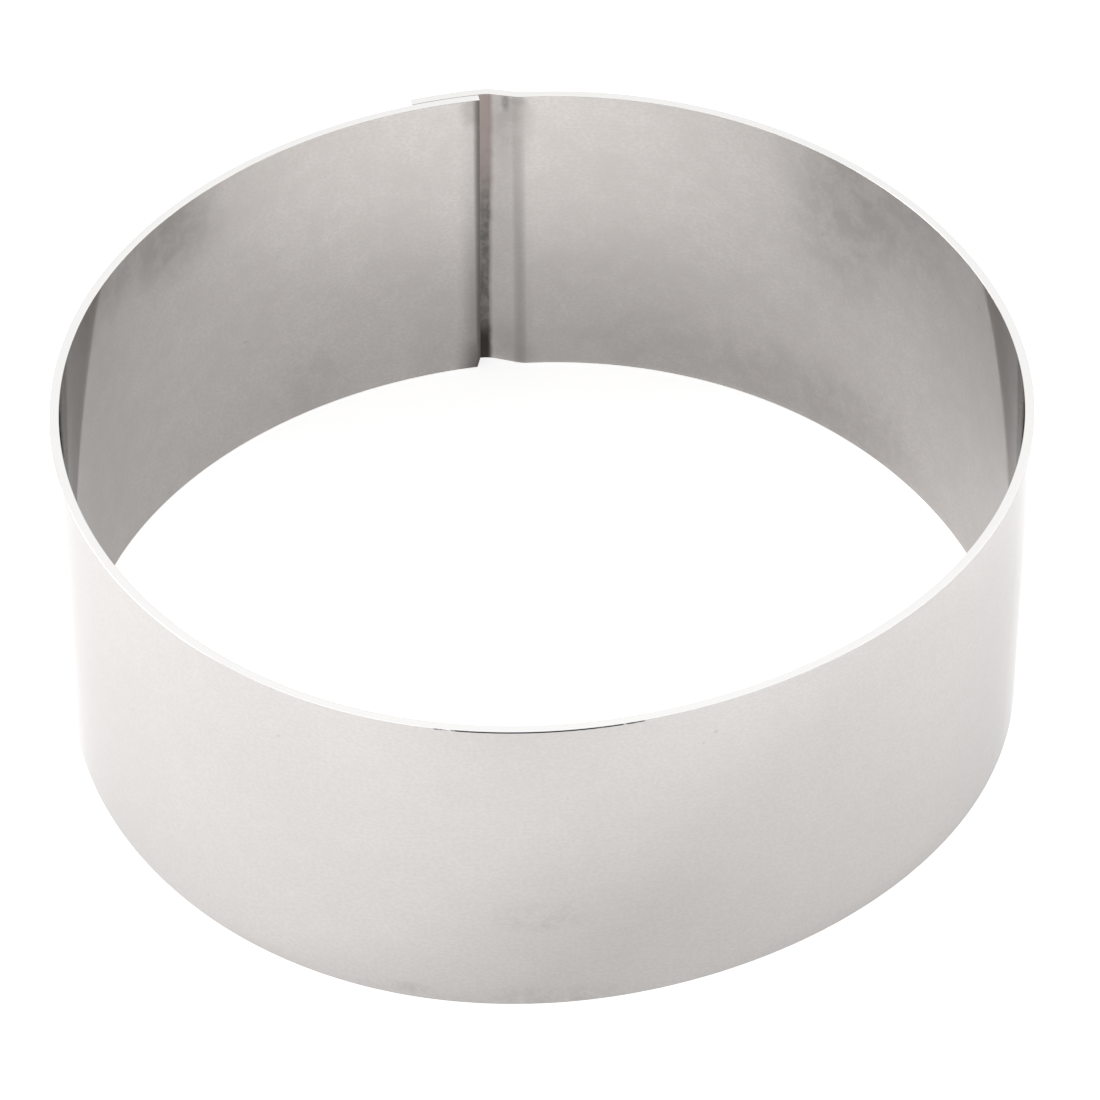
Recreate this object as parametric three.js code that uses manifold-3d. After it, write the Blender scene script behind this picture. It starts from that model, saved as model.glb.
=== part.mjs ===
// Mousse ring: one stainless strip rolled round, its ends lapped and spot-welded.
// One end is joggled outwards by a sheet's thickness, so that it passes behind the other end
// and the bore stays round up to the seam. Millimetres, +Z up. The origin lies on the ring's
// axis in the plane that the ring stands on, and the middle of the lap is at +Y.

import * as THREE from "three";
import { mergeVertices } from "three/addons/utils/BufferGeometryUtils.js";
import Module from "manifold-3d";

// Band
const INNER_DIAMETER = 90;
const HEIGHT = 35;
const SHEET = 0.9;
const EDGE_BREAK = 0.12; // rounding of the strip's two long edges

// Lap seam
const LAP_LENGTH = 6.6; // overlap of the two ends, along the arc between the sheets
const LAP_GAP = 0.25; // between the sheets, from the inner end to the tail
const TOE_CLEARANCE = 0.3; // from the inner end to where the joggle starts to bend
const JOGGLE_BEND = 3.75; // radius of both bends, at mid-sheet
const JOGGLE_RAMP = 2.2; // straight stretch between the bends

// Spot welds, in one row down the middle of the lap
const WELD_PITCH = 7;
const NUGGET_DIAMETER = 3.2;
const NUGGET_PENETRATION = 0.5; // share of each sheet that the weld melts
const NUGGET_CLEARANCE = 0.05;
const DENT_DIAMETER = 4; // electrode marks, on the outside only
const DENT_DEPTH = 0.1;

// Facets
const CHORD_ERROR = 0.006; // how far a flat facet may stray from an arc of the plan
const EDGE_STEPS = 2;
const LENS_SIDES = 20;
const LENS_RINGS = 8;

const SAME_POINT = 1e-4;

const wasm = await Module();
wasm.setup();

const bandRadius = INNER_DIAMETER / 2 + SHEET / 2;
const lapRadius = bandRadius + SHEET + LAP_GAP;
const fayingRadius = (bandRadius + lapRadius) / 2;
const outsideRadius = lapRadius + SHEET / 2;

const stainless = { color: 0xd2cecb, roughness: 0.28, metalness: 1 };
const weldMetal = { color: 0xa39c97, roughness: 0.5, metalness: 1 };

// A point at an angle and a distance from the ring's axis.
function polar(radius, angle) {
  return new THREE.Vector2(radius * Math.cos(angle), radius * Math.sin(angle));
}

// The strip's middle line seen from above, as arcs that meet end to end: round the ring from
// the inner end, out through the joggle's two bends, and along the back of the lap to the tail.
// The first bend turns round a point outside the band and the second round one inside the lap,
// and the ramp is the line that touches both.
function stripArcs() {
  const lapMiddle = Math.PI / 2;
  const halfLap = LAP_LENGTH / fayingRadius / 2;
  const innerEnd = lapMiddle - halfLap - 2 * Math.PI;
  const lapStart = lapMiddle - halfLap - TOE_CLEARANCE / fayingRadius;
  const tailEnd = lapMiddle + halfLap;

  const firstReach = bandRadius + JOGGLE_BEND;
  const secondReach = lapRadius - JOGGLE_BEND;
  const between = Math.hypot(JOGGLE_RAMP, 2 * JOGGLE_BEND);
  const sweep = Math.acos(
    (firstReach ** 2 + secondReach ** 2 - between ** 2) / (2 * firstReach * secondReach),
  );
  const bendStart = lapStart - sweep;
  const outwardTurn =
    Math.atan2(JOGGLE_RAMP, -2 * JOGGLE_BEND) -
    Math.atan2(secondReach * Math.sin(sweep), secondReach * Math.cos(sweep) - firstReach);
  const rampSide = bendStart - outwardTurn;

  const axis = new THREE.Vector2();
  const firstCentre = polar(firstReach, bendStart);
  const secondCentre = polar(secondReach, lapStart);
  return [
    { centre: axis, radius: bandRadius, from: innerEnd, to: bendStart },
    { centre: firstCentre, radius: JOGGLE_BEND, from: bendStart + Math.PI, to: rampSide + Math.PI },
    { centre: secondCentre, radius: JOGGLE_BEND, from: rampSide, to: lapStart },
    { centre: axis, radius: lapRadius, from: lapStart, to: tailEnd },
  ];
}

// One face of the strip, at a distance outwards from its middle line.
function facePoints(arcs, outwards) {
  const points = arcs.flatMap(({ centre, radius, from, to }) => {
    const clockwise = to < from;
    const faceRadius = clockwise ? radius - outwards : radius + outwards;
    const facetAngle = 2 * Math.acos(1 - CHORD_ERROR / radius);
    const facets = Math.ceil(Math.abs(to - from) / facetAngle);
    const curve = new THREE.EllipseCurve(
      centre.x, centre.y, faceRadius, faceRadius, from, to, clockwise,
    );
    return curve.getPoints(facets);
  });
  return points.filter((p, i) => i === 0 || p.distanceTo(points[i - 1]) > SAME_POINT);
}

// The rolled strip, with its top and bottom edges rounded.
function rolledStrip() {
  const arcs = stripArcs();
  const outside = facePoints(arcs, SHEET / 2);
  const inside = facePoints(arcs, -SHEET / 2);
  const plan = new THREE.Shape([...outside, ...inside.reverse()]);
  const strip = new THREE.ExtrudeGeometry(plan, {
    depth: HEIGHT - 2 * EDGE_BREAK,
    bevelThickness: EDGE_BREAK,
    bevelSize: EDGE_BREAK,
    bevelOffset: -EDGE_BREAK,
    bevelSegments: EDGE_STEPS,
  });
  return strip.translate(0, 0, EDGE_BREAK);
}

// A flattened ball whose short axis points out of the ring at the middle of the lap.
function lens(diameter, thickness) {
  const profile = new THREE.EllipseCurve(
    0, 0, diameter / 2, thickness / 2, -Math.PI / 2, Math.PI / 2,
  ).getPoints(LENS_RINGS);
  profile[0].x = 0;
  profile[LENS_RINGS].x = 0;
  return new THREE.LatheGeometry(profile, LENS_SIDES);
}

function solidOf(geometry) {
  const bare = geometry.clone();
  bare.deleteAttribute("normal");
  bare.deleteAttribute("uv");
  const merged = mergeVertices(bare, SAME_POINT);
  return new wasm.Manifold(
    new wasm.Mesh({
      numProp: 3,
      vertProperties: merged.attributes.position.array,
      triVerts: new Uint32Array(merged.index.array),
    }),
  );
}

function geometryOf(solid) {
  const { vertProperties, triVerts } = solid.getMesh();
  const geometry = new THREE.BufferGeometry();
  geometry.setAttribute("position", new THREE.BufferAttribute(vertProperties, 3));
  geometry.setIndex(new THREE.BufferAttribute(triVerts, 1));
  geometry.computeVertexNormals();
  return geometry;
}

// Heights of the spot welds: as many as the pitch gives, spread evenly over the strip.
function weldHeights() {
  const count = Math.max(1, Math.round(HEIGHT / WELD_PITCH));
  return Array.from({ length: count }, (_, i) => ((i + 0.5) * HEIGHT) / count);
}

// The strip with a pocket for each nugget, half in each lap, and an electrode mark behind it.
function weldedBand(nuggetThickness) {
  const pocket = lens(NUGGET_DIAMETER + 2 * NUGGET_CLEARANCE, nuggetThickness + 2 * NUGGET_CLEARANCE);
  const dent = lens(DENT_DIAMETER, 2 * DENT_DEPTH);
  let band = solidOf(rolledStrip());
  for (const height of weldHeights()) {
    band = band.subtract(solidOf(pocket.clone().translate(0, fayingRadius, height)));
    band = band.subtract(solidOf(dent.clone().translate(0, outsideRadius, height)));
  }
  return geometryOf(band);
}

function part(name, geometry, finish) {
  const mesh = new THREE.Mesh(geometry, new THREE.MeshStandardMaterial(finish));
  mesh.name = name;
  return mesh;
}

function mousseRing() {
  const nuggetThickness = LAP_GAP + 2 * NUGGET_PENETRATION * SHEET;
  const ring = new THREE.Group();
  ring.add(part("ring_band", weldedBand(nuggetThickness), stainless));
  weldHeights().forEach((height, i) => {
    const nugget = part(`weld_nugget_${i + 1}`, lens(NUGGET_DIAMETER, nuggetThickness), weldMetal);
    nugget.position.set(0, fayingRadius, height);
    ring.add(nugget);
  });
  return ring;
}

export default mousseRing();
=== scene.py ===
"""Looks of the mousse ring: a satin stainless strip, rolled round, lapped and spot-welded at the back."""

import math
from types import SimpleNamespace

import bpy
from mathutils import Matrix, Vector


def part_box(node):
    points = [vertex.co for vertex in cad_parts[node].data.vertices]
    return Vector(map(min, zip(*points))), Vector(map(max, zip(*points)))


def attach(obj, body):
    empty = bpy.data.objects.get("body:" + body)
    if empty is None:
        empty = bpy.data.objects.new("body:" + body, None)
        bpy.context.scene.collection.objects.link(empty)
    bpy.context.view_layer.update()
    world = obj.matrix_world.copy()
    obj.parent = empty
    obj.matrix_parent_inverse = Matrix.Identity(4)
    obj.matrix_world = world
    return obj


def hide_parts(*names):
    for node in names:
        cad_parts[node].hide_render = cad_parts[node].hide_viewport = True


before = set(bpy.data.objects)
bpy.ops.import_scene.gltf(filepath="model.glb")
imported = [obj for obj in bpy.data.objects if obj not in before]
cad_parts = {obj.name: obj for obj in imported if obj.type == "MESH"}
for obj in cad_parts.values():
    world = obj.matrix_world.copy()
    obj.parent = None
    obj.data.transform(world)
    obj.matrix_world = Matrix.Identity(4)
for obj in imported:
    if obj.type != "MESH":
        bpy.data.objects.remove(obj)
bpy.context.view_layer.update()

MM = 0.001

# The strip, as the solid has it. Its height and reach come from the frame.
SHEET = 0.9 * MM
LAP_LENGTH = 6.6 * MM
LAP_GAP = 0.25 * MM
TOE_CLEARANCE = 0.3 * MM
JOGGLE_BEND = 3.75 * MM
JOGGLE_RAMP = 2.2 * MM
DENT_DIAMETER = 4.0 * MM
DENT_DEPTH = 0.1 * MM
NUGGET_CLEARANCE = 0.05 * MM

BAND_LOW, BAND_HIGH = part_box("ring_band")
HEIGHT = BAND_HIGH.z - BAND_LOW.z
BAND_RADIUS = BAND_HIGH.x - SHEET / 2
LAP_RADIUS = BAND_RADIUS + SHEET + LAP_GAP
FAYING_RADIUS = (BAND_RADIUS + LAP_RADIUS) / 2
LAP_ANGLE = math.radians(90)

NUGGETS = sorted(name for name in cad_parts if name.startswith("weld_nugget"))
NUGGET_LOW, NUGGET_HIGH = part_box(NUGGETS[0])
NUGGET_DIAMETER = NUGGET_HIGH.x - NUGGET_LOW.x
NUGGET_THICKNESS = NUGGET_HIGH.y - NUGGET_LOW.y
WELD_PITCH = HEIGHT / len(NUGGETS)

# What shearing, rolling and welding leave. Each wave round the ring: lobes, height, and its crest's angle.
OUT_OF_ROUND = ((2, 0.55 * MM, 22.5), (3, 0.21 * MM, 99.5), (4, 0.24 * MM, 61.5))
EDGE_BREAK = 0.04 * MM
TOP_GAP = 0.01 * MM  # between the laps, at the top rim
BOTTOM_GAP = 0.5 * MM
END_LEAN = 0.3 * MM  # of the inner end, from foot to top
CORNER_CLIP = 0.32 * MM  # off the inner end's lower corner
CORNER_HEIGHT = 1.3 * MM

# Mesh steps
ROUND_STEP = math.radians(1.0)
SEAM_STEP = 0.35 * MM
BEND_STEP = math.radians(1.5)
ROWS = 92
EDGE_STEPS = 4
EDGE_ROW = 0.02 * MM  # from each corner of the section to the row beside it
CRISP_CORNER = math.radians(60)
SAME_POINT = 0.001 * MM

# Colours, linear
STEEL = (0.62, 0.592, 0.573)
CLEAN_STEEL = (0.618, 0.598, 0.589)
HAZED_STEEL = (0.53, 0.503, 0.484)
CUT_STEEL = (0.74, 0.733, 0.726)
GLANCE_TINT = (0.8, 0.8, 0.8)
HEAT_TINT = (0.30, 0.25, 0.238)
DIRT_AND_SHADE_GREY = (0.27, 0.252, 0.24)
SOOT_AND_SHADE = (0.055, 0.05, 0.044)
DARK_EDGE_REFLECTION = (0.02, 0.02, 0.022)
WELD_STEEL = (0.42, 0.40, 0.38)
WELD_TINT = (0.30, 0.22, 0.16)
PAPER_WHITE = (0.9, 0.9, 0.9)

# Patterns on the strip, and how strongly each tints it
BROAD_PATCH = 13.0 * MM
BROAD_TINT = 0.4
SMALL_PATCH = 2.6 * MM
SMALL_TINT = 0.42
OUTSIDE_CLOUDS = 0.3  # as a share of those inside
BLOTCH_PATCH = 1.1 * MM
STREAK_LENGTH = 12.0 * MM
STREAK_WIDTH = 0.25 * MM
STREAK_TINT = 0.12
FLECK_LENGTH = 0.4 * MM
FLECK_CONTRAST = (0.35, 0.65)
FLECK_TINT_INSIDE = 0.6
FLECK_TINT_OUTSIDE = 0.34
SPECK_SPACING = 4.5 * MM
SPECK_SIZE = 0.3 * MM
SPECK_TINT = 0.22
UNEVENNESS = (0.6, 1.0)  # of marks and tints, from thin to thick

# Sheen of the strip, as roughness, and its faint ripples
CLEAR_SHEEN = 0.04
CLOUDED_SHEEN = 0.075
FULLY_CLOUDED = 0.7
STREAK_DULLING = 0.012
SOOT_DULLING = 0.22
RIPPLE_HEIGHT = 0.03 * MM
RIPPLE_STRENGTH = 0.1

# Where the strip's faces and its sheared rims fade into each other: share of the way across, and depth
FACE_FADE = (0.93, 0.98)
CUT_FADE = (0.92, 0.985)
RIM_FADE = (0.05 * MM, 0.2 * MM)

# Dirt and painted shade: place along the strip from its inner end and up from the foot, reach each way,
# strength
INSIDE_MARKS_AND_SHADE = (
    ((19.0 * MM, 3.5 * MM), (6.0 * MM, 7.0 * MM), 0.14),
    ((3.0 * MM, 1.5 * MM), (6.0 * MM, 8.0 * MM), 0.12),
    # Darker at the top corner of the inner end.
    ((0.9 * MM, 33.8 * MM), (1.5 * MM, 3.0 * MM), 0.5),
    ((253.5 * MM, 3.5 * MM), (11.0 * MM, 7.5 * MM), 0.22),
    ((243.0 * MM, 3.0 * MM), (11.0 * MM, 8.0 * MM), 0.26),
    ((267.0 * MM, 3.0 * MM), (11.0 * MM, 7.0 * MM), 0.14),
    # Painted reflection of the shaded table: dark clouds high on the inner wall, left of the seam.
    ((44.0 * MM, 35.0 * MM), (18.0 * MM, 7.0 * MM), 0.42),
    ((35.5 * MM, 31.5 * MM), (8.5 * MM, 7.0 * MM), 0.45),
    # Painted reflection of the shaded table: dark clouds high on the inner wall, right of the seam.
    ((241.0 * MM, 34.0 * MM), (16.0 * MM, 11.0 * MM), 0.36),
    ((246.5 * MM, 27.0 * MM), (9.0 * MM, 12.0 * MM), 0.32),
    # Darker on the joggle's ramp near its top, with a dark speck beside it.
    ((282.4 * MM, 33.6 * MM), (3.2 * MM, 9.0 * MM), 0.45),
    ((282.7 * MM, 34.2 * MM), (0.6 * MM, 1.7 * MM), 1.0),
    ((281.4 * MM, 34.5 * MM), (1.1 * MM, 0.8 * MM), 0.5),
    # Painted shade at the foot of the joggle's ramp.
    ((282.7 * MM, 1.0 * MM), (4.0 * MM, 8.0 * MM), 0.28),
)
OUTSIDE_MARKS_AND_SHADE = (
    ((136.6 * MM, 11.5 * MM), (6.0 * MM, 2.8 * MM), 0.19),
    ((124.2 * MM, 1.2 * MM), (3.0 * MM, 1.0 * MM), 0.25),
    # Painted contact shadow along the foot of the outer wall, in front.
    ((138.0 * MM, 0.0 * MM), (11.0 * MM, 3.5 * MM), 0.25),
    ((208.1 * MM, 34.6 * MM), (0.35 * MM, 0.35 * MM), 1.0),
)

# A painted dark reflection along the outer top edge
EDGE_LINE_MIDDLE = 136.5 * MM
EDGE_LINE_REACH = 11.0 * MM
EDGE_LINE_CORE = 0.3 * EDGE_LINE_REACH
EDGE_LINE_DEPTH = 0.13 * MM
EDGE_LINE_FULL_DEPTH = 0.6 * EDGE_LINE_DEPTH
EDGE_LINE_FADE = (0.8, 0.92)  # share of the way across the rim
EDGE_LINE_BREAKS = (0.55, 1.1)
EDGE_LINE_ENDS = 0.1

# Behind the welds, outwards from the middle of each
HALO_EDGE = 0.8 * DENT_DIAMETER
HALO_FULL = 0.48 * DENT_DIAMETER
HALO_TINT = 0.4
PRESSED_EDGE = 0.52 * DENT_DIAMETER
PRESSED_FULL = 0.44 * DENT_DIAMETER
PRESSED_TINT = 0.7
PRESSED_DULLING = 0.6  # as a share of the soot's

# The line rubbed along the first bend: it starts before the bend and is weakest at the top.
RUB_LEAD = 0.15 * MM
RUB_FULL_BELOW = 0.6 * HEIGHT
RUB_TINT_TOP = 0.25
RUB_TINT = 0.5

# The pocket beside the inner end, where the welds' heat and soot show, with painted shade that turns black
# at the foot. Distances run out from that end.
POCKET_EDGE = 2.1 * MM
POCKET_FULL = 1.3 * MM
POCKET_HIDDEN = (0.5 * MM, 1.5 * MM)  # behind the inner lap
POCKET_WAVER = 0.15 * MM
POCKET_LEAN_FOOT = -0.15 * MM
POCKET_LEAN_TOP = 0.3 * MM
POCKET_TINT = 0.9
HEAT_ABOVE = 0.85 * HEIGHT
GREY_BELOW = 0.55 * HEIGHT
STREAK_OUTER = (1.3 * MM, 1.7 * MM)
STREAK_INNER = (0.2 * MM, 0.6 * MM)
STREAK_FULL_BELOW = 0.5 * HEIGHT
STREAK_TOP = 0.1
STREAK_FLECKS = (0.22, 0.6)
POCKET_SHADED_FOOT = (2.5 * MM, 6.5 * MM)

# Soot and painted shade on the inner end, along the strip from it and up from the foot
END_LINE = (0.1 * MM, 0.95 * MM)
END_LINE_TINT = 0.8
END_SHADE = (0.2 * MM, 2.6 * MM)
END_SHADE_TOP = 0.1
END_SHADE_FOOT = 0.45
END_FOOT = 3.0 * MM
END_FOOT_HEIGHT = (1.0 * MM, 9.0 * MM)
END_FOOT_TINT = 0.7

# Weld metal
WELD_PATCH = 0.8 * MM
WELD_STREAK_LENGTH = 0.6 * MM
WELD_STREAK_WIDTH = 0.3 * MM
WELD_SPECK_SPACING = 0.6 * MM
WELD_SPECK_SIZE = 0.15 * MM
WELD_SPECK_TINT = 0.6
WELD_SHEEN = (0.35, 0.55)

# Lamps, a metre out: azimuth clockwise from the side away from the camera, elevation, size, watts
SOFT_BOXES = {
    "key": (-60, 46, 0.45, 4.4),
    "top": (-25, 66, 0.45, 0.85),
    "right": (45, 50, 0.45, 1.3),
}

# The room's light. Heights and turns are in degrees, and facings are cosines.
CEILING_ABOVE = 30
LOW_CEILING = 0.1
OVERHEAD = 0.55
BACKDROP_HEIGHT = 25
BACKDROP_FULL_TURN = 35
BACKDROP_EDGE_TURN = 50
BACKDROP = 1.35
PAPER_FULL_BELOW = 14
PAPER_BELOW = 30
FRONT_FACING = (-0.2, 0.6)
FRONT_PAPER = 3.2
SIDE_FACING = (0.3, 0.9)
SIDE_PAPER = 0.45

# The table's glow to the camera and in the metal, with painted shade in front and painted paleness beyond
# the ring. Distances run from the ring's axis.
CAMERA_GLOW = 0.78
METAL_GLOW = 0.43
SHADE_IN_FRONT = 110.0 * MM
SHADE_TO_RIGHT = 8.0 * MM
SHADE_FADE = (15.0 * MM, 65.0 * MM)
SHADE_STRENGTH = 0.2
PALER_FROM = 55.0 * MM
PALER_STRENGTH = 0.14

# Camera and table
CAMERA_AZIMUTH = -11.9
CAMERA_PLACE = Vector((-82.0, -389.2, 380.0)) * MM
CAMERA_AIM = Vector((0.8, -0.2, 15.1)) * MM
CAMERA_ROLL = math.radians(0.2)
CAMERA_LENS = 183.4
SENSOR = 36.0
NEAREST_SEEN = 10.0 * MM
TABLE_HALF = 3.0
TABLE_DROP = 0.02 * MM


class Nodes:
    """Adds nodes to one tree. An input is a value, or the output of another node."""

    def __init__(self, tree):
        self.tree = tree

    def add(self, kind, inputs=None, **settings):
        made = self.tree.nodes.new(kind)
        for name, value in settings.items():
            setattr(made, name, value)
        for key, value in (inputs or {}).items():
            self.feed(made.inputs[key], value)
        return made

    def feed(self, socket, value):
        if isinstance(value, bpy.types.NodeSocket):
            self.tree.links.new(value, socket)
        else:
            socket.default_value = value

    def math(self, operation, *values):
        return self.add("ShaderNodeMath", dict(enumerate(values)), operation=operation).outputs[0]

    def product(self, first, *others):
        for other in others:
            first = self.math("MULTIPLY", first, other)
        return first

    def most(self, first, *others):
        for other in others:
            first = self.math("MAXIMUM", first, other)
        return first

    def away(self, value, place):
        """How far a value is from a place, either way."""
        return self.math("ABSOLUTE", self.math("SUBTRACT", value, place))

    def vector(self, operation, *values):
        made = self.add("ShaderNodeVectorMath", dict(enumerate(values)), operation=operation)
        return made.outputs["Value" if operation in ("LENGTH", "DISTANCE", "DOT_PRODUCT") else "Vector"]

    def scaled(self, direction, length):
        made = self.add("ShaderNodeVectorMath", {0: direction, "Scale": length}, operation="SCALE")
        return made.outputs["Vector"]

    def combine(self, x=0.0, y=0.0, z=0.0):
        return self.add("ShaderNodeCombineXYZ", {"X": x, "Y": y, "Z": z}).outputs[0]

    def split(self, vector):
        return self.add("ShaderNodeSeparateXYZ", {0: vector}).outputs

    def ramp(self, value, low, high, to_low=0.0, to_high=1.0):
        """A value eased from one range to another, and held at its ends."""
        return self.add(
            "ShaderNodeMapRange",
            {"Value": value, "From Min": low, "From Max": high, "To Min": to_low, "To Max": to_high},
            interpolation_type="SMOOTHSTEP",
        ).outputs["Result"]

    def fade(self, value, near, far, strength=1.0):
        """A strength up to one distance, eased to nothing at another."""
        return self.ramp(value, far, near, 0.0, strength)

    def between(self, mask, clear, full):
        """One value where a mask is clear and another where it is full."""
        return self.ramp(mask, 0.0, 1.0, clear, full)

    def blend(self, share, first, second):
        """One colour laid over another."""
        made = self.add("ShaderNodeMix", {"Factor": share}, data_type="RGBA")
        sockets = [socket for socket in made.inputs if socket.type == "RGBA"]
        for socket, value in zip(sockets, (first, second)):
            self.feed(socket, value if isinstance(value, bpy.types.NodeSocket) else (*value, 1.0))
        return next(socket for socket in made.outputs if socket.type == "RGBA")

    def group(self, tree, inputs):
        return self.add("ShaderNodeGroup", inputs, node_tree=tree).outputs[0]


def new_group(name, kind, inputs, outputs):
    """An empty node group with named sockets: its builder, its given values and its result."""
    tree = bpy.data.node_groups.new(name, kind)
    for direction, sockets in (("INPUT", inputs), ("OUTPUT", outputs)):
        for socket, socket_type in sockets:
            tree.interface.new_socket(socket, in_out=direction, socket_type=socket_type)
    return Nodes(tree), tree.nodes.new("NodeGroupInput").outputs, tree.nodes.new("NodeGroupOutput").inputs


# The rolled band

def polar(radius, angle):
    return Vector((radius * math.cos(angle), radius * math.sin(angle)))


def waves(angle):
    return sum(size * math.cos(lobes * (angle - math.radians(crest))) for lobes, size, crest in OUT_OF_ROUND)


def out_of_round(angle):
    """How far the strip stands off the true circle. It is true at the middle of the lap."""
    return waves(angle) - waves(LAP_ANGLE) * math.cos(angle - LAP_ANGLE)


def arc_points(centre, radius, start, end, step):
    count = math.ceil(abs(end - start) / step)
    return [centre + polar(radius, start + (end - start) * i / count) for i in range(count + 1)]


def strip_stretches():
    """The strip's middle line from above, stretch by stretch from the inner end to the tail."""
    half_lap = LAP_LENGTH / FAYING_RADIUS / 2
    inner_end = LAP_ANGLE - half_lap - math.tau
    inner_lap_start = LAP_ANGLE + half_lap - math.tau
    lap_start = LAP_ANGLE - half_lap - TOE_CLEARANCE / FAYING_RADIUS
    tail_end = LAP_ANGLE + half_lap

    # The first bend turns round a point outside the band and the second round one inside the lap.
    first_reach = BAND_RADIUS + JOGGLE_BEND
    second_reach = LAP_RADIUS - JOGGLE_BEND
    between = math.hypot(JOGGLE_RAMP, 2 * JOGGLE_BEND)
    sweep = math.acos((first_reach**2 + second_reach**2 - between**2) / (2 * first_reach * second_reach))
    bend_start = lap_start - sweep
    outward_turn = math.atan2(JOGGLE_RAMP, -2 * JOGGLE_BEND) - math.atan2(
        second_reach * math.sin(sweep), second_reach * math.cos(sweep) - first_reach
    )
    ramp_side = bend_start - outward_turn

    axis = Vector((0, 0))
    first_centre = polar(first_reach, bend_start)
    second_centre = polar(second_reach, lap_start)
    seam_step = SEAM_STEP / BAND_RADIUS
    first_bend = arc_points(first_centre, JOGGLE_BEND, bend_start + math.pi, ramp_side + math.pi, BEND_STEP)
    second_bend = arc_points(second_centre, JOGGLE_BEND, ramp_side, lap_start, BEND_STEP)
    ramp_steps = math.ceil(JOGGLE_RAMP / SEAM_STEP)
    return {
        "inner_lap": arc_points(axis, BAND_RADIUS, inner_end, inner_lap_start, seam_step),
        "band": arc_points(axis, BAND_RADIUS, inner_lap_start, bend_start, ROUND_STEP),
        "first_bend": first_bend,
        "ramp": [first_bend[-1].lerp(second_bend[0], i / ramp_steps) for i in range(ramp_steps)],
        "second_bend": second_bend,
        "outer_lap": arc_points(axis, LAP_RADIUS, lap_start, tail_end, seam_step),
    }


def strip_path():
    """The middle line's points, each with the stretch it is on."""
    path = []
    for stretch, points in strip_stretches().items():
        for point in points:
            if not path or (point - path[-1][0]).length > SAME_POINT:
                path.append((point, stretch))
    return path


def path_values(path):
    """What the sweep and the finish read at each point of the path."""
    along = [0.0]
    for (before, _), (after, _) in zip(path, path[1:]):
        along.append(along[-1] + (after - before).length)
    starts = {}
    for (_, stretch), distance in zip(path, along):
        starts.setdefault(stretch, distance)
    toe_at = starts["outer_lap"] + TOE_CLEARANCE
    rub_start = starts["first_bend"] - RUB_LEAD

    def share(distance, first, last):
        return min(1.0, max(0.0, (distance - first) / (last - first)))

    return {
        "along": along,
        "toe": [distance - toe_at for distance in along],
        "lap": [{"inner_lap": -1.0, "outer_lap": 1.0}.get(stretch, 0.0) for _, stretch in path],
        "lift": [share(distance, starts["first_bend"], starts["outer_lap"]) for distance in along],
        "rub": [math.sin(math.pi * share(distance, rub_start, starts["ramp"])) for distance in along],
    }


def path_mesh():
    """The middle line as a mesh at half height, out of round."""
    path = strip_path()
    placed = []
    for point, _ in path:
        angle = math.atan2(point.y, point.x)
        placed.append(point + polar(out_of_round(angle), angle))
    mesh = bpy.data.meshes.new("strip_path")
    mesh.from_pydata(
        [(p.x, p.y, HEIGHT / 2) for p in placed], [(i, i + 1) for i in range(len(placed) - 1)], []
    )
    for name, numbers in path_values(path).items():
        mesh.attributes.new(name, "FLOAT", "POINT").data.foreach_set("value", numbers)
    return mesh


def pushed_out(n, value, corner, step, left):
    """Moves a value that lies one step short of a corner nearer, so that a small step is left."""
    short = n.math("SUBTRACT", corner, n.math("ABSOLUTE", value))
    is_next = n.math("COMPARE", short, step, n.product(step, 0.5))
    gain = n.product(is_next, n.math("SUBTRACT", short, left), n.math("SIGN", value))
    return n.math("ADD", value, gain)


def strip_section(n, given):
    """Section of the strip: a tall rectangle with broken corners, and even rows up its two faces.

    The row next to each corner lies close to it, which keeps the shading of the flats flat.
    """
    sharp = n.add(
        "GeometryNodeCurvePrimitiveQuadrilateral",
        {"Width": given["Sheet"], "Height": given["Height"]}, mode="RECTANGLE",
    ).outputs[0]
    broken = n.add(
        "GeometryNodeFilletCurve",
        {"Curve": sharp, "Count": given["Edge Steps"], "Radius": given["Edge Break"]}, mode="POLY",
    ).outputs[0]
    place = n.add("GeometryNodeInputPosition").outputs[0]
    next_point = n.add("GeometryNodeOffsetPointInCurve", {"Offset": 1}).outputs["Point Index"]
    next_place = n.add(
        "GeometryNodeFieldAtIndex", {"Value": place, "Index": next_point},
        data_type="FLOAT_VECTOR", domain="POINT",
    ).outputs[0]
    length = n.vector("DISTANCE", place, next_place)
    is_flat = n.math("GREATER_THAN", length, n.product(given["Sheet"], 0.5))
    is_face = n.math("GREATER_THAN", length, given["Sheet"])
    face_cuts = n.product(is_face, n.math("SUBTRACT", given["Rows"], 2.0))
    cuts = n.math("ADD", face_cuts, n.product(is_flat, 2.0))
    divided = n.add("GeometryNodeSubdivideCurve", {"Curve": broken, "Cuts": cuts}).outputs[0]

    corner_x = n.math("SUBTRACT", n.product(given["Sheet"], 0.5), given["Edge Break"])
    corner_y = n.math("SUBTRACT", n.product(given["Height"], 0.5), given["Edge Break"])
    step_x = n.product(corner_x, 2 / 3)
    step_y = n.math("DIVIDE", n.product(corner_y, 2.0), n.math("ADD", given["Rows"], 1.0))
    x, y, _ = n.split(place)
    spread_x = pushed_out(n, x, corner_x, step_x, given["Edge Row"])
    spread_y = pushed_out(n, y, corner_y, step_y, given["Edge Row"])
    spread = n.combine(spread_x, spread_y)
    section = n.add("GeometryNodeSetPosition", {"Geometry": divided, "Position": spread}).outputs[0]
    across = n.math("DIVIDE", x, n.product(given["Sheet"], 0.5))
    return n.add(
        "GeometryNodeStoreNamedAttribute", {"Geometry": section, "Name": "across", "Value": across},
        data_type="FLOAT", domain="POINT",
    ).outputs[0]


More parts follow.
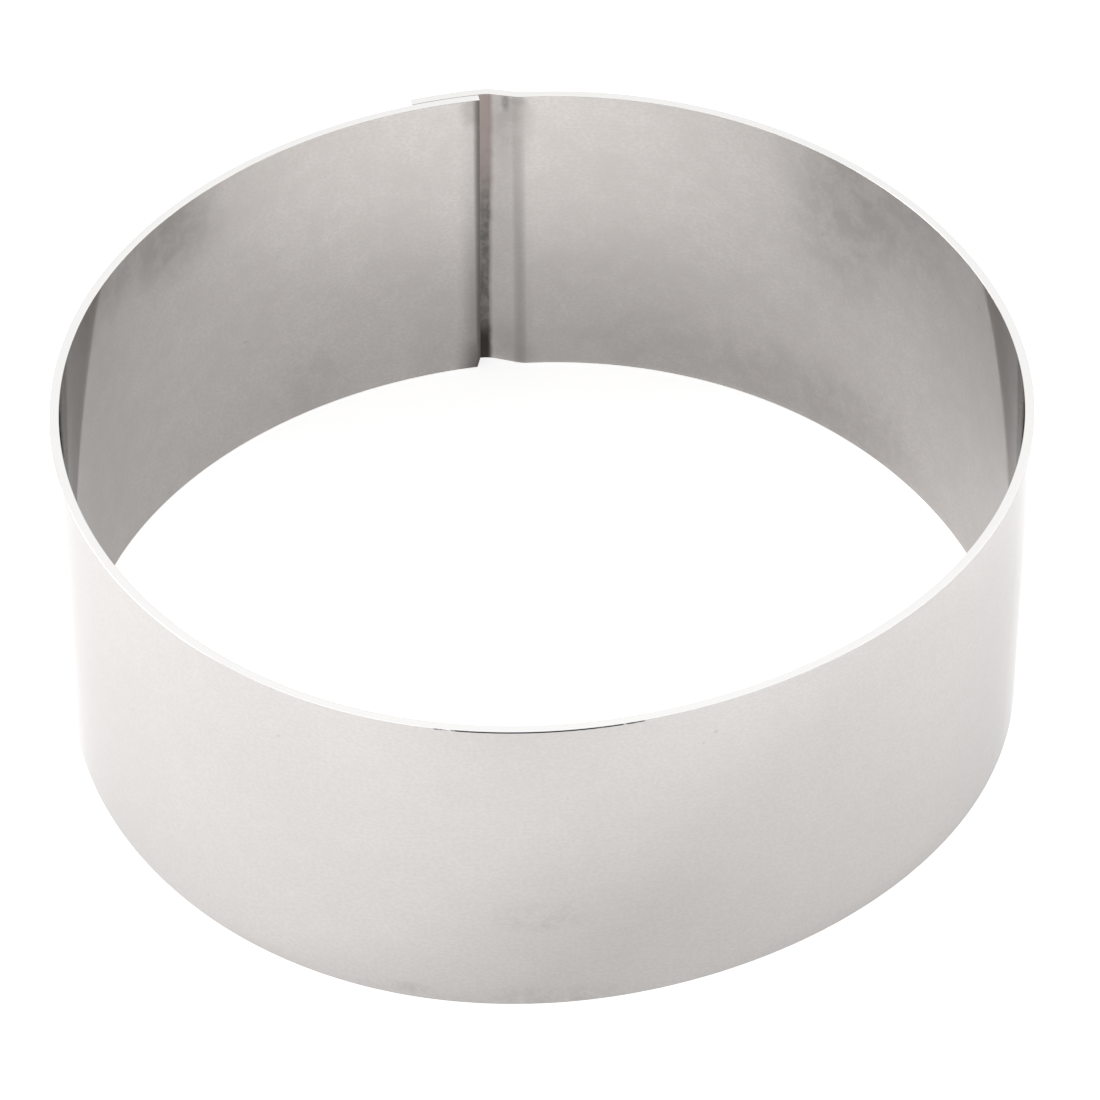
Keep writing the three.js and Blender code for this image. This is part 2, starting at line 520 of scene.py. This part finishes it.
def moved(n, strip, **how):
    """The strip with its points set to a Position or shifted by an Offset."""
    return n.add("GeometryNodeSetPosition", {"Geometry": strip, **how}).outputs[0]


def sprung_lap(n, given, strip, at):
    """The outer lap touches at the top and stands off at the bottom."""
    gap = n.ramp(at.height_share, 0.0, 1.0, given["Bottom Gap"], given["Top Gap"])
    outwards = n.vector("NORMALIZE", n.combine(at.x, at.y))
    spring = n.product(n.math("SUBTRACT", gap, given["Lap Gap"]), at.lift)
    return moved(n, strip, Offset=n.scaled(outwards, spring))


def trimmed_end(n, given, strip, at):
    """The inner end is cut a little out of square, with its lower corner clipped."""
    lean = n.product(n.math("SUBTRACT", 0.5, at.height_share), given["End Lean"])
    corner_share = n.math("SUBTRACT", 1.0, n.math("DIVIDE", at.z, given["Corner Height"]))
    clip = n.product(n.most(corner_share, 0.0), given["Corner Clip"])
    near_end = n.math("SUBTRACT", 1.0, n.math("DIVIDE", at.along, given["Lap Length"]))
    on_inner_lap = n.math("LESS_THAN", at.lap, -0.5)
    trim = n.product(n.math("ADD", lean, clip), near_end, on_inner_lap)
    turn = n.math("DIVIDE", trim, given["Faying Radius"])
    turned = n.add("ShaderNodeVectorRotate", {"Vector": at.place, "Angle": turn}, rotation_type="Z_AXIS")
    return moved(n, strip, Position=turned.outputs[0])


def lens_reach(n, distance, diameter, reach):
    """Half the thickness of a flattened ball at a distance from its middle."""
    share = n.math("DIVIDE", distance, n.product(diameter, 0.5))
    rest = n.math("SUBTRACT", 1.0, n.math("POWER", share, 2.0))
    return n.product(n.math("SQRT", n.most(rest, 0.0)), reach)


def pressed_welds(n, given, strip, at):
    """Nugget pockets between the laps, and electrode marks behind the outer one, in a row up the lap."""
    row_place = n.math("SUBTRACT", n.math("FRACT", n.math("DIVIDE", at.z, given["Weld Pitch"])), 0.5)
    distance = n.vector("LENGTH", n.combine(at.x, n.product(row_place, given["Weld Pitch"])))
    half_pocket = n.product(given["Pocket Thickness"], 0.5)
    pocket = lens_reach(n, distance, given["Pocket Diameter"], half_pocket)
    radius = n.vector("LENGTH", n.combine(at.x, at.y))
    from_faying = n.away(radius, given["Faying Radius"])
    pocket_depth = n.most(n.math("SUBTRACT", pocket, from_faying), 0.0)
    dent_depth = lens_reach(n, distance, given["Dent Diameter"], given["Dent Depth"])
    facing = n.product(at.lap, at.across)
    between_laps = n.math("LESS_THAN", facing, -0.9)
    behind = n.product(n.math("GREATER_THAN", facing, 0.9), n.math("GREATER_THAN", at.lap, 0.0))
    depth = n.math("ADD", n.product(between_laps, pocket_depth), n.product(behind, dent_depth))
    normal = n.add("GeometryNodeInputNormal").outputs[0]
    return moved(n, strip, Offset=n.scaled(normal, n.product(depth, -1.0)))


def shaded(n, strip):
    """Smooth faces, with crisp edges at the two sheared ends."""
    smooth = n.add("GeometryNodeSetShadeSmooth", {"Geometry": strip}, domain="FACE").outputs[0]
    corner = n.add("GeometryNodeInputMeshEdgeAngle").outputs[0]
    is_crisp = n.math("GREATER_THAN", corner, CRISP_CORNER)
    return n.add(
        "GeometryNodeSetShadeSmooth", {"Geometry": smooth, "Selection": is_crisp, "Shade Smooth": False},
        domain="EDGE",
    ).outputs[0]


def strip_tree(sizes, counts):
    """Sweeps the section along the path, springs the lap, trims the inner end and presses the welds in."""
    n, given, result = new_group(
        "rolled_strip", "GeometryNodeTree",
        [
            ("Path", "NodeSocketGeometry"),
            *((name, "NodeSocketFloat") for name in sizes),
            *((name, "NodeSocketInt") for name in counts),
            ("Finish", "NodeSocketMaterial"),
        ],
        [("Strip", "NodeSocketGeometry")],
    )
    place = n.add("GeometryNodeInputPosition").outputs[0]
    x, y, z = n.split(place)
    along, across, lap, lift = (
        n.add("GeometryNodeInputNamedAttribute", {"Name": name}, data_type="FLOAT").outputs[0]
        for name in ("along", "across", "lap", "lift")
    )
    height_share = n.math("DIVIDE", z, given["Height"])
    at = SimpleNamespace(
        place=place, x=x, y=y, z=z, along=along, across=across, lap=lap, lift=lift, height_share=height_share
    )

    line = n.add("GeometryNodeMeshToCurve", {"Mesh": given["Path"]}).outputs[0]
    strip = n.add(
        "GeometryNodeCurveToMesh",
        {"Curve": line, "Profile Curve": strip_section(n, given), "Fill Caps": True},
    ).outputs[0]
    strip = sprung_lap(n, given, strip, at)
    strip = trimmed_end(n, given, strip, at)
    strip = pressed_welds(n, given, strip, at)
    strip = shaded(n, strip)
    strip = n.add("GeometryNodeRealizeInstances", {"Geometry": strip}).outputs[0]
    strip = n.add("GeometryNodeSetMaterial", {"Geometry": strip, "Material": given["Finish"]}).outputs[0]
    n.feed(result["Strip"], strip)
    return n.tree


def set_inputs(modifier, values):
    """Sets a Geometry Nodes modifier's inputs, found by the names of their sockets."""
    for item in modifier.node_group.interface.items_tree:
        if item.in_out == "INPUT" and item.name in values:
            modifier[item.identifier] = values[item.name]


def rolled_band(finish):
    sizes = {
        "Sheet": SHEET,
        "Height": HEIGHT,
        "Edge Break": EDGE_BREAK,
        "Edge Row": EDGE_ROW,
        "Lap Length": LAP_LENGTH,
        "Lap Gap": LAP_GAP,
        "Top Gap": TOP_GAP,
        "Bottom Gap": BOTTOM_GAP,
        "Faying Radius": FAYING_RADIUS,
        "End Lean": END_LEAN,
        "Corner Clip": CORNER_CLIP,
        "Corner Height": CORNER_HEIGHT,
        "Weld Pitch": WELD_PITCH,
        "Pocket Diameter": NUGGET_DIAMETER + 2 * NUGGET_CLEARANCE,
        "Pocket Thickness": NUGGET_THICKNESS + 2 * NUGGET_CLEARANCE,
        "Dent Diameter": DENT_DIAMETER,
        "Dent Depth": DENT_DEPTH,
    }
    counts = {"Edge Steps": EDGE_STEPS, "Rows": ROWS}
    band = bpy.data.objects.new("ring_band_rolled", path_mesh())
    bpy.context.scene.collection.objects.link(band)
    roller = band.modifiers.new("rolled_strip", "NODES")
    roller.node_group = strip_tree(sizes, counts)
    set_inputs(roller, {**sizes, **counts, "Finish": finish})
    graph = bpy.context.evaluated_depsgraph_get()
    mesh = bpy.data.meshes.new_from_object(
        band.evaluated_get(graph), preserve_all_data_layers=True, depsgraph=graph
    )
    band.modifiers.clear()
    band.data = mesh
    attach(band, "root")
    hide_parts("ring_band")


# Effects that the finishes share

def haze_group():
    """Soft cloudy patches, left by rolling and by hands."""
    n, given, result = new_group(
        "cloudy_haze", "ShaderNodeTree",
        [("Vector", "NodeSocketVector"), ("Patch Size", "NodeSocketFloat"), ("Seed", "NodeSocketFloat")],
        [("Haze", "NodeSocketFloat")],
    )
    noise = n.add(
        "ShaderNodeTexNoise",
        {
            "Vector": given["Vector"],
            "W": given["Seed"],
            "Scale": n.math("DIVIDE", 1.0, given["Patch Size"]),
            "Detail": 4.0,
            "Roughness": 0.6,
            "Distortion": 0.4,
        },
        noise_dimensions="4D",
    )
    n.feed(result["Haze"], n.ramp(noise.outputs[0], 0.3, 0.7))
    return n.tree


def grain_group():
    """Fine streaks along the rolling direction, which is X."""
    n, given, result = new_group(
        "rolling_grain", "ShaderNodeTree",
        [
            ("Vector", "NodeSocketVector"),
            ("Streak Length", "NodeSocketFloat"),
            ("Streak Width", "NodeSocketFloat"),
        ],
        [("Grain", "NodeSocketFloat")],
    )
    size = n.combine(given["Streak Length"], given["Streak Width"], given["Streak Width"])
    place = n.vector("DIVIDE", given["Vector"], size)
    noise = n.add("ShaderNodeTexNoise", {"Vector": place, "Scale": 1.0, "Detail": 3.0, "Roughness": 0.55})
    n.feed(result["Grain"], noise.outputs[0])
    return n.tree


def speck_group():
    """Small specks of dirt, strewn at random."""
    n, given, result = new_group(
        "strewn_specks", "ShaderNodeTree",
        [("Vector", "NodeSocketVector"), ("Spacing", "NodeSocketFloat"), ("Speck Size", "NodeSocketFloat")],
        [("Speck", "NodeSocketFloat")],
    )
    cells = n.add(
        "ShaderNodeTexVoronoi", {"Vector": given["Vector"], "Scale": n.math("DIVIDE", 1.0, given["Spacing"])}
    ).outputs
    chance = n.split(cells["Color"])["X"]
    reach = n.product(n.math("DIVIDE", given["Speck Size"], given["Spacing"]), chance)
    dot = n.ramp(cells["Distance"], reach, n.product(reach, 0.5))
    n.feed(result["Speck"], n.product(dot, n.math("GREATER_THAN", chance, 0.55)))
    return n.tree


def smudge_and_shade_group():
    """A dark spot with a soft oval rim, broken up by a pattern: dirt in some places, painted shade in
    others.
    """
    n, given, result = new_group(
        "smudge_and_shade_spot", "ShaderNodeTree",
        [
            ("Vector", "NodeSocketVector"),
            ("Centre", "NodeSocketVector"),
            ("Reach", "NodeSocketVector"),
            ("Pattern", "NodeSocketFloat"),
        ],
        [("Smudge And Shade", "NodeSocketFloat")],
    )
    offset = n.vector("DIVIDE", n.vector("SUBTRACT", given["Vector"], given["Centre"]), given["Reach"])
    oval = n.fade(n.vector("LENGTH", offset), 0.2, 1.0)
    n.feed(result["Smudge And Shade"], n.product(oval, given["Pattern"]))
    return n.tree


# Finishes

def new_material(name):
    material = bpy.data.materials.new(name)
    material.use_nodes = True
    return material, Nodes(material.node_tree), material.node_tree.nodes["Principled BSDF"].inputs


def strip_places(n):
    """Where a point lies on the strip, and masks of the inside, the outside and the sheared rims."""
    along, across, toe, rub = (
        n.add("ShaderNodeAttribute", attribute_name=name).outputs["Fac"]
        for name in ("along", "across", "toe", "rub")
    )
    up = n.split(n.add("ShaderNodeTexCoord").outputs["Object"])["Z"]
    rim_depth = n.math("SUBTRACT", HEIGHT / 2, n.away(up, HEIGHT / 2))
    at_rim = n.fade(rim_depth, *RIM_FADE)
    return SimpleNamespace(
        along=along, across=across, toe=toe, rub=rub, up=up,
        spot=n.combine(along, up, n.product(across, SHEET / 2)),
        inside=n.ramp(n.product(across, -1.0), *FACE_FADE),
        outside=n.ramp(across, *FACE_FADE),
        cut=n.product(at_rim, n.fade(n.math("ABSOLUTE", across), *CUT_FADE)),
    )


def strip_patterns(n, shared, spot):
    """The patterns laid over the strip, from broad clouds down to specks."""
    def haze(patch, seed):
        return n.group(shared["haze"], {"Vector": spot, "Patch Size": patch, "Seed": seed})

    def grain(length):
        sizes = {"Streak Length": length, "Streak Width": STREAK_WIDTH}
        return n.group(shared["grain"], {"Vector": spot, **sizes})

    speck_sizes = {"Spacing": SPECK_SPACING, "Speck Size": SPECK_SIZE}
    return SimpleNamespace(
        broad=haze(BROAD_PATCH, 3.0),
        small=haze(SMALL_PATCH, 8.0),
        blotch=haze(BLOTCH_PATCH, 5.0),
        streak=grain(STREAK_LENGTH),
        fleck=grain(FLECK_LENGTH),
        speck=n.group(shared["speck"], {"Vector": spot, **speck_sizes}),
    )


def clean_sheet(n, at, pattern, patches):
    """Sheet as it is bought: cloudy inside, nearly clear outside, and bright where it was sheared."""
    clouds = n.product(patches, n.between(at.inside, OUTSIDE_CLOUDS, 1.0))
    colour = n.blend(clouds, n.blend(at.outside, STEEL, CLEAN_STEEL), HAZED_STEEL)
    fleck_tint = n.between(at.inside, FLECK_TINT_OUTSIDE, FLECK_TINT_INSIDE)
    flecks = n.product(n.ramp(pattern.fleck, *FLECK_CONTRAST), fleck_tint)
    texture = n.math("ADD", n.product(pattern.streak, STREAK_TINT), flecks)
    colour = n.blend(texture, colour, HAZED_STEEL)
    colour = n.blend(n.product(pattern.speck, SPECK_TINT), colour, DIRT_AND_SHADE_GREY)
    return n.blend(at.cut, colour, CUT_STEEL)


def marked_and_shaded(n, smudge_and_shade_tree, colour, spot, pattern, face, marks):
    """Lays dirty marks and patches of painted shade on one face of the strip."""
    for (along, up), (reach_along, reach_up), strength in marks:
        smudge_and_shade = n.group(smudge_and_shade_tree, {
            "Vector": spot,
            "Centre": (along, up, 0.0),
            "Reach": (reach_along, reach_up, 1.0),
            "Pattern": pattern,
        })
        colour = n.blend(n.product(smudge_and_shade, face, strength), colour, DIRT_AND_SHADE_GREY)
    return colour


def painted_edge_reflection(n, at, pattern):
    """A painted dark reflection along the outer top edge, broken up towards its two ends."""
    core = n.fade(n.away(at.along, EDGE_LINE_MIDDLE), EDGE_LINE_CORE, EDGE_LINE_REACH)
    broken = n.ramp(n.math("ADD", core, pattern.blotch), *EDGE_LINE_BREAKS)
    at_top = n.ramp(at.up, HEIGHT - EDGE_LINE_DEPTH, HEIGHT - EDGE_LINE_FULL_DEPTH)
    on_corner = n.ramp(at.across, *EDGE_LINE_FADE)
    return n.product(at_top, on_corner, broken, n.ramp(core, 0.0, EDGE_LINE_ENDS))


def weld_spots(n, at, pattern):
    """Masks of the tinted rings behind the welds, and of the dull spots where the electrode pressed."""
    row_place = n.math("SUBTRACT", n.math("FRACT", n.math("DIVIDE", at.up, WELD_PITCH)), 0.5)
    beside = n.math("SUBTRACT", at.toe, LAP_LENGTH / 2)
    distance = n.vector("LENGTH", n.combine(beside, n.product(row_place, WELD_PITCH)))
    uneven = n.between(pattern.blotch, *UNEVENNESS)
    halo = n.product(at.outside, n.fade(distance, HALO_FULL, HALO_EDGE, HALO_TINT), uneven)
    pressed = n.product(at.outside, n.fade(distance, PRESSED_FULL, PRESSED_EDGE))
    return halo, pressed


def pocket_soot_and_shade(n, at, pattern, colour):
    """Heat and soot in the pocket beside the inner end, with painted shade, blackest at the foot.

    Gives the colour with these laid on, and the pocket's mask.
    """
    lean = n.ramp(at.up, 0.0, HEIGHT, POCKET_LEAN_FOOT, POCKET_LEAN_TOP)
    waver = n.product(n.math("SUBTRACT", pattern.small, 0.5), POCKET_WAVER)
    wavy_toe = n.math("ADD", n.math("ADD", at.toe, lean), waver)
    out = n.product(wavy_toe, -1.0)
    pocket = n.product(at.inside, n.fade(out, POCKET_FULL, POCKET_EDGE), n.fade(at.toe, *POCKET_HIDDEN))
    # Heat tint near the top, and darker grey lower down: soot with painted shade.
    tint = n.blend(n.fade(at.up, GREY_BELOW, HEAT_ABOVE), HEAT_TINT, DIRT_AND_SHADE_GREY)
    colour = n.blend(n.product(pocket, POCKET_TINT), colour, tint)

    streak = n.product(n.fade(out, *STREAK_OUTER), n.ramp(out, *STREAK_INNER))
    flecks = n.between(pattern.blotch, *STREAK_FLECKS)
    lower_down = n.ramp(at.up, HEAT_ABOVE, STREAK_FULL_BELOW, STREAK_TOP, 1.0)
    colour = n.blend(n.product(at.inside, streak, flecks, lower_down), colour, SOOT_AND_SHADE)
    # Painted shade: the pocket turns black at its foot, where the gap between the laps is widest.
    shaded_foot = n.product(pocket, n.fade(at.up, *POCKET_SHADED_FOOT))
    return n.blend(shaded_foot, colour, SOOT_AND_SHADE), pocket


def end_soot_and_shade(n, at):
    """Masks of the dark line along the inner end's edge, and of all the soot and painted shade on that end.
    """
    # Soot with painted shade: a dark line at the edge, a shade that deepens towards the foot, and a dark
    # foot.
    line = n.fade(at.along, *END_LINE, END_LINE_TINT)
    lower_down = n.ramp(at.up, HEIGHT, 0.0, END_SHADE_TOP, END_SHADE_FOOT)
    shade = n.product(at.inside, n.fade(at.along, *END_SHADE), lower_down)
    at_foot = n.fade(at.up, *END_FOOT_HEIGHT, END_FOOT_TINT)
    foot = n.product(at.inside, n.fade(at.along, 0.0, END_FOOT), at_foot)
    off_the_rims = n.math("SUBTRACT", 1.0, at.cut)
    return line, n.product(n.most(line, shade, foot), off_the_rims)


def satin_strip(shared):
    """Cold-rolled stainless: a cloudy sheen, fine streaks, heat, soot and rubbing at the seam, and painted
    shade.
    """
    material, n, shader = new_material("satin_strip")
    at = strip_places(n)
    pattern = strip_patterns(n, shared, at.spot)
    patches = n.math("ADD", n.product(pattern.broad, BROAD_TINT), n.product(pattern.small, SMALL_TINT))

    colour = clean_sheet(n, at, pattern, patches)
    uneven = n.between(pattern.small, *UNEVENNESS)
    colour = marked_and_shaded(n, shared["smudge_and_shade"], colour, at.spot, uneven, at.inside, INSIDE_MARKS_AND_SHADE)
    colour = marked_and_shaded(n, shared["smudge_and_shade"], colour, at.spot, pattern.blotch, at.outside, OUTSIDE_MARKS_AND_SHADE)
    # Painted dark reflection along the outer top edge.
    colour = n.blend(painted_edge_reflection(n, at, pattern), colour, DARK_EDGE_REFLECTION)
    halo, pressed = weld_spots(n, at, pattern)
    colour = n.blend(halo, colour, HEAT_TINT)
    colour = n.blend(n.product(pressed, PRESSED_TINT), colour, HAZED_STEEL)
    rub_tint = n.ramp(at.up, HEIGHT, RUB_FULL_BELOW, RUB_TINT_TOP, RUB_TINT)
    colour = n.blend(n.product(at.rub, at.inside, rub_tint), colour, DIRT_AND_SHADE_GREY)
    colour, pocket = pocket_soot_and_shade(n, at, pattern, colour)
    end_line, soot_and_shade = end_soot_and_shade(n, at)
    # Soot and painted shade on the inner end.
    colour = n.blend(soot_and_shade, colour, SOOT_AND_SHADE)
    n.feed(shader["Base Color"], colour)

    clouded = n.ramp(patches, 0.0, FULLY_CLOUDED, CLEAR_SHEEN, CLOUDED_SHEEN)
    sheen = n.math("ADD", clouded, n.product(pattern.streak, STREAK_DULLING))
    dulled = n.most(pocket, end_line, n.product(pressed, PRESSED_DULLING))
    n.feed(shader["Roughness"], n.math("MULTIPLY_ADD", dulled, SOOT_DULLING, sheen))
    shader["Metallic"].default_value = 1.0
    shader["Specular Tint"].default_value = (*GLANCE_TINT, 1.0)
    ripple = n.add(
        "ShaderNodeBump", {"Strength": RIPPLE_STRENGTH, "Distance": RIPPLE_HEIGHT, "Height": pattern.broad}
    )
    n.feed(shader["Normal"], ripple.outputs[0])
    return material


def weld_metal(shared):
    """Remelted steel of the nuggets, dull and tinted by heat."""
    material, n, shader = new_material("weld_metal")
    place = n.add("ShaderNodeTexCoord").outputs["Object"]
    streak_sizes = {"Streak Length": WELD_STREAK_LENGTH, "Streak Width": WELD_STREAK_WIDTH}
    speck_sizes = {"Spacing": WELD_SPECK_SPACING, "Speck Size": WELD_SPECK_SIZE}
    haze = n.group(shared["haze"], {"Vector": place, "Patch Size": WELD_PATCH, "Seed": 1.0})
    grain = n.group(shared["grain"], {"Vector": place, **streak_sizes})
    speck = n.group(shared["speck"], {"Vector": place, **speck_sizes})
    colour = n.blend(haze, WELD_STEEL, WELD_TINT)
    colour = n.blend(n.product(speck, WELD_SPECK_TINT), colour, SOOT_AND_SHADE)
    n.feed(shader["Base Color"], colour)
    n.feed(shader["Roughness"], n.ramp(grain, 0.3, 0.7, *WELD_SHEEN))
    shader["Metallic"].default_value = 1.0
    return material


def finish_nuggets(finish):
    for nugget in NUGGETS:
        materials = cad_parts[nugget].data.materials
        materials.clear()
        materials.append(finish)


# Table, light and camera

def cos(degrees):
    return math.cos(math.radians(degrees))


def sin(degrees):
    return math.sin(math.radians(degrees))


def towards(azimuth, elevation):
    """Direction out from the ring, in degrees: azimuth clockwise from the side away from the camera."""
    turn = azimuth - CAMERA_AZIMUTH
    return Vector((sin(turn) * cos(elevation), cos(turn) * cos(elevation), sin(elevation)))


def paper_glow(n):
    """How pale the metal sees the paper: a painted shade in front, where the camera stands, and painted
    paleness beyond the ring.
    """
    place = n.add("ShaderNodeTexCoord").outputs["Object"]
    shade_place = towards(180, 0) * SHADE_IN_FRONT + towards(90, 0) * SHADE_TO_RIGHT
    shade = n.fade(n.vector("DISTANCE", place, shade_place), *SHADE_FADE, SHADE_STRENGTH)
    in_front = n.vector("DOT_PRODUCT", place, towards(180, 0))
    paler = n.fade(in_front, 0.0, PALER_FROM, PALER_STRENGTH)
    outside = n.ramp(n.vector("LENGTH", place), BAND_RADIUS - SHEET, BAND_RADIUS + SHEET)
    return n.math("SUBTRACT", n.math("MULTIPLY_ADD", paler, outside, METAL_GLOW), shade)


def table_finish():
    """White paper. It takes the ring's shadow, and glows so that the camera and the metal see it pale."""
    material = bpy.data.materials.new("white_table")
    material.use_nodes = True
    material.node_tree.nodes.clear()
    n = Nodes(material.node_tree)
    path = n.add("ShaderNodeLightPath").outputs
    in_metal = n.product(n.most(path["Is Glossy Ray"], path["Is Transmission Ray"]), paper_glow(n))
    glow = n.math("MULTIPLY_ADD", path["Is Camera Ray"], CAMERA_GLOW, in_metal)
    paper = n.add("ShaderNodeBsdfDiffuse", {"Color": (*PAPER_WHITE, 1.0)}).outputs[0]
    light = n.add("ShaderNodeEmission", {"Strength": glow}).outputs[0]
    both = n.add("ShaderNodeAddShader", {0: paper, 1: light}).outputs[0]
    n.add("ShaderNodeOutputMaterial", {"Surface": both})
    return material


def white_table():
    corners = ((-1, -1), (1, -1), (1, 1), (-1, 1))
    mesh = bpy.data.meshes.new("table")
    mesh.from_pydata([(x * TABLE_HALF, y * TABLE_HALF, -TABLE_DROP) for x, y in corners], [], [(0, 1, 2, 3)])
    mesh.materials.append(table_finish())
    table = bpy.data.objects.new("table", mesh)
    bpy.context.scene.collection.objects.link(table)


def soft_box(name, azimuth, elevation, size, watts):
    lamp = bpy.data.lights.new(name, "AREA")
    lamp.shape = "SQUARE"
    lamp.size = size
    lamp.energy = watts
    holder = bpy.data.objects.new(name, lamp)
    bpy.context.scene.collection.objects.link(holder)
    out = towards(azimuth, elevation)
    holder.location = out
    holder.rotation_euler = out.to_track_quat("Z", "Y").to_euler()


def studio():
    """Three soft boxes, a pale ceiling, a lit backdrop, and bright paper low in front and at the sides."""
    for name, setting in SOFT_BOXES.items():
        soft_box(name, *setting)
    world = bpy.data.worlds.new("studio")
    bpy.context.scene.world = world
    world.use_nodes = True
    world.node_tree.nodes.clear()
    n = Nodes(world.node_tree)
    direction = n.add("ShaderNodeTexCoord").outputs["Generated"]

    def facing(azimuth, elevation):
        return n.vector("DOT_PRODUCT", direction, towards(azimuth, elevation))

    height = n.split(direction)["Z"]
    ceiling = n.ramp(height, sin(CEILING_ABOVE), sin(90), LOW_CEILING, OVERHEAD)
    facing_backdrop = facing(0, BACKDROP_HEIGHT)
    backdrop = n.ramp(facing_backdrop, cos(BACKDROP_EDGE_TURN), cos(BACKDROP_FULL_TURN), 0.0, BACKDROP)
    front = n.ramp(facing(180, 0), *FRONT_FACING, 0.0, FRONT_PAPER)
    sides = n.ramp(n.math("ABSOLUTE", facing(90, 0)), *SIDE_FACING, 0.0, SIDE_PAPER)
    low = n.fade(height, sin(PAPER_FULL_BELOW), sin(PAPER_BELOW))
    sweep = n.product(low, n.math("ADD", front, sides))
    room = n.math("ADD", n.math("ADD", backdrop, ceiling), sweep)
    seen = n.most(room, n.add("ShaderNodeLightPath").outputs["Is Camera Ray"])
    back = n.add("ShaderNodeBackground", {"Strength": seen}).outputs[0]
    n.add("ShaderNodeOutputWorld", {"Surface": back})


def camera():
    data = bpy.data.cameras.new("camera")
    data.sensor_width = SENSOR
    data.lens = CAMERA_LENS
    data.clip_start = NEAREST_SEEN
    eye = bpy.data.objects.new("camera", data)
    bpy.context.scene.collection.objects.link(eye)
    turn = (CAMERA_AIM - CAMERA_PLACE).to_track_quat("-Z", "Y").to_matrix().to_4x4()
    eye.matrix_world = Matrix.Translation(CAMERA_PLACE) @ turn @ Matrix.Rotation(-CAMERA_ROLL, 4, "Z")
    bpy.context.scene.camera = eye


bpy.context.scene.view_settings.view_transform = "Standard"
shared_groups = {
    "haze": haze_group(),
    "grain": grain_group(),
    "speck": speck_group(),
    "smudge_and_shade": smudge_and_shade_group(),
}
rolled_band(satin_strip(shared_groups))
finish_nuggets(weld_metal(shared_groups))
white_table()
studio()
camera()
